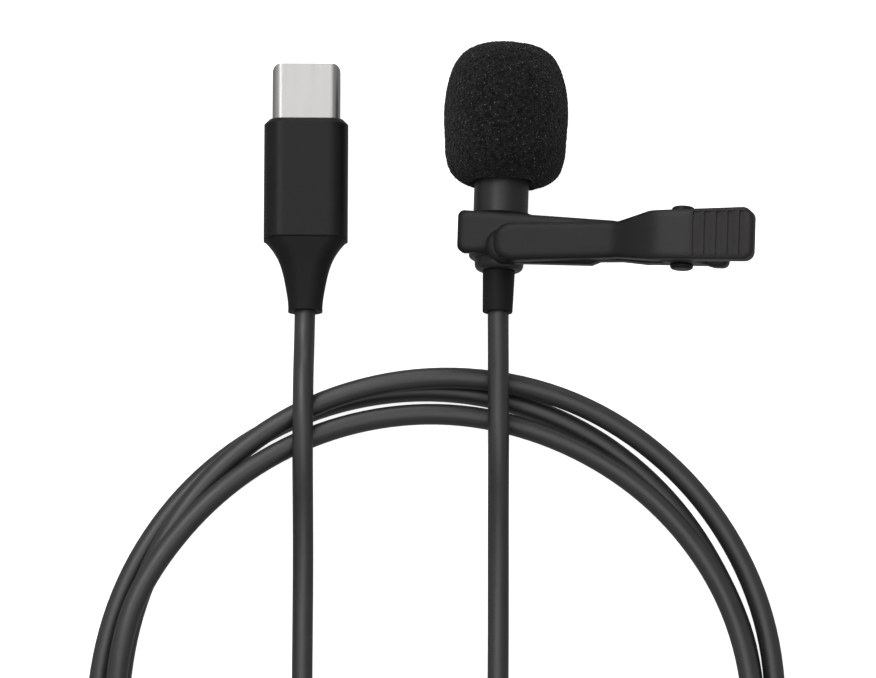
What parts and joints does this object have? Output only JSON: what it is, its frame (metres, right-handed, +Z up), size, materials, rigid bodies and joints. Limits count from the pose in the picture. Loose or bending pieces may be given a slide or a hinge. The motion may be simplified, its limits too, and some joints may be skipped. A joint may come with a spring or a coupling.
{
  "type": "lavalier microphone",
  "caption": "Clip-on lavalier microphone with a foam windscreen, a sprung swivel clip and a coiled cord that ends in a USB-C plug.",
  "frame": {"origin": "on the table, under the middle of the microphone and its clip", "axes": "+X along the clip towards its finger pads, +Y along the microphone towards its windscreen, +Z up from the table"},
  "size_m": [0.0844, 0.125, 0.0262],
  "materials": {
    "foam": "matt open-cell foam",
    "black_plastic": "fine matt",
    "clip_plastic": "satin with a soft sheen",
    "housing_paint": "semi-matt black",
    "jacket": "smooth satin",
    "relief_rubber": "matt",
    "nickel": "satin nickel plate",
    "spring_steel": "bright drawn wire",
    "aluminium_can": "drawn",
    "gold": "gold plate",
    "film": "metallised film",
    "pcb": "solder mask",
    "chip": "moulded epoxy",
    "wire_insulation": "glossy",
    "white_plastic": "moulded"
  },
  "bodies": {
    "microphone": {"mic_housing": "housing_paint", "mic_end_cap": "housing_paint", "mic_strain_relief": "relief_rubber", "grille_cap": "housing_paint", "dust_mesh": "spring_steel", "capsule_boot": "relief_rubber", "capsule_felt": "foam", "capsule_can": "aluminium_can", "diaphragm": "film", "diaphragm_spacer": "film", "back_plate": "gold", "back_chamber": "white_plastic", "gate_ring": "gold", "capsule_board": "pcb", "capsule_transistor": "chip", "mic_wires": "wire_insulation", "cord_ferrule": "spring_steel", "cord_mic_tail": "jacket", "cord_coil": "jacket", "cord_bundle": "jacket", "cord_plug_tail": "jacket", "contacts_upper": "gold", "contacts_lower": "gold", "latch_spring": "spring_steel", "plug_board": "pcb", "codec_chip": "chip", "board_passives": "white_plastic", "plug_wires": "wire_insulation", "plug_ferrule": "spring_steel", "board_shield": "spring_steel", "plug_shell": "nickel", "plug_insulator": "black_plastic", "plug_housing": "black_plastic", "plug_boot": "relief_rubber"},
    "windscreen": {"windscreen": "foam"},
    "clip_carrier": {"clip_rear_arm": "clip_plastic", "pivot_pin": "black_plastic", "torsion_spring": "spring_steel"},
    "clip_jaw": {"clip_front_arm": "clip_plastic"}
  },
  "joints": [
    {"name": "windscreen_pull", "type": "slide", "parent": "microphone", "child": "windscreen", "axis": [0, 1, 0], "range_m": [0, 0.02]},
    {"name": "clip_swivel", "type": "hinge", "parent": "microphone", "child": "clip_carrier", "pos_m": [-0.01146, -0.00685, 0.00755], "axis": [0, 1, 0], "range_deg": [-115, 20]},
    {"name": "jaw_hinge", "type": "hinge", "parent": "clip_carrier", "child": "clip_jaw", "pos_m": [0.01038, -0.00965, 0.02041], "axis": [0, 1, 0], "range_deg": [0, 25], "stiffness_Nm_per_rad": 0.03, "springref_deg": -34.38, "deforming": ["torsion_spring"]}
  ]
}
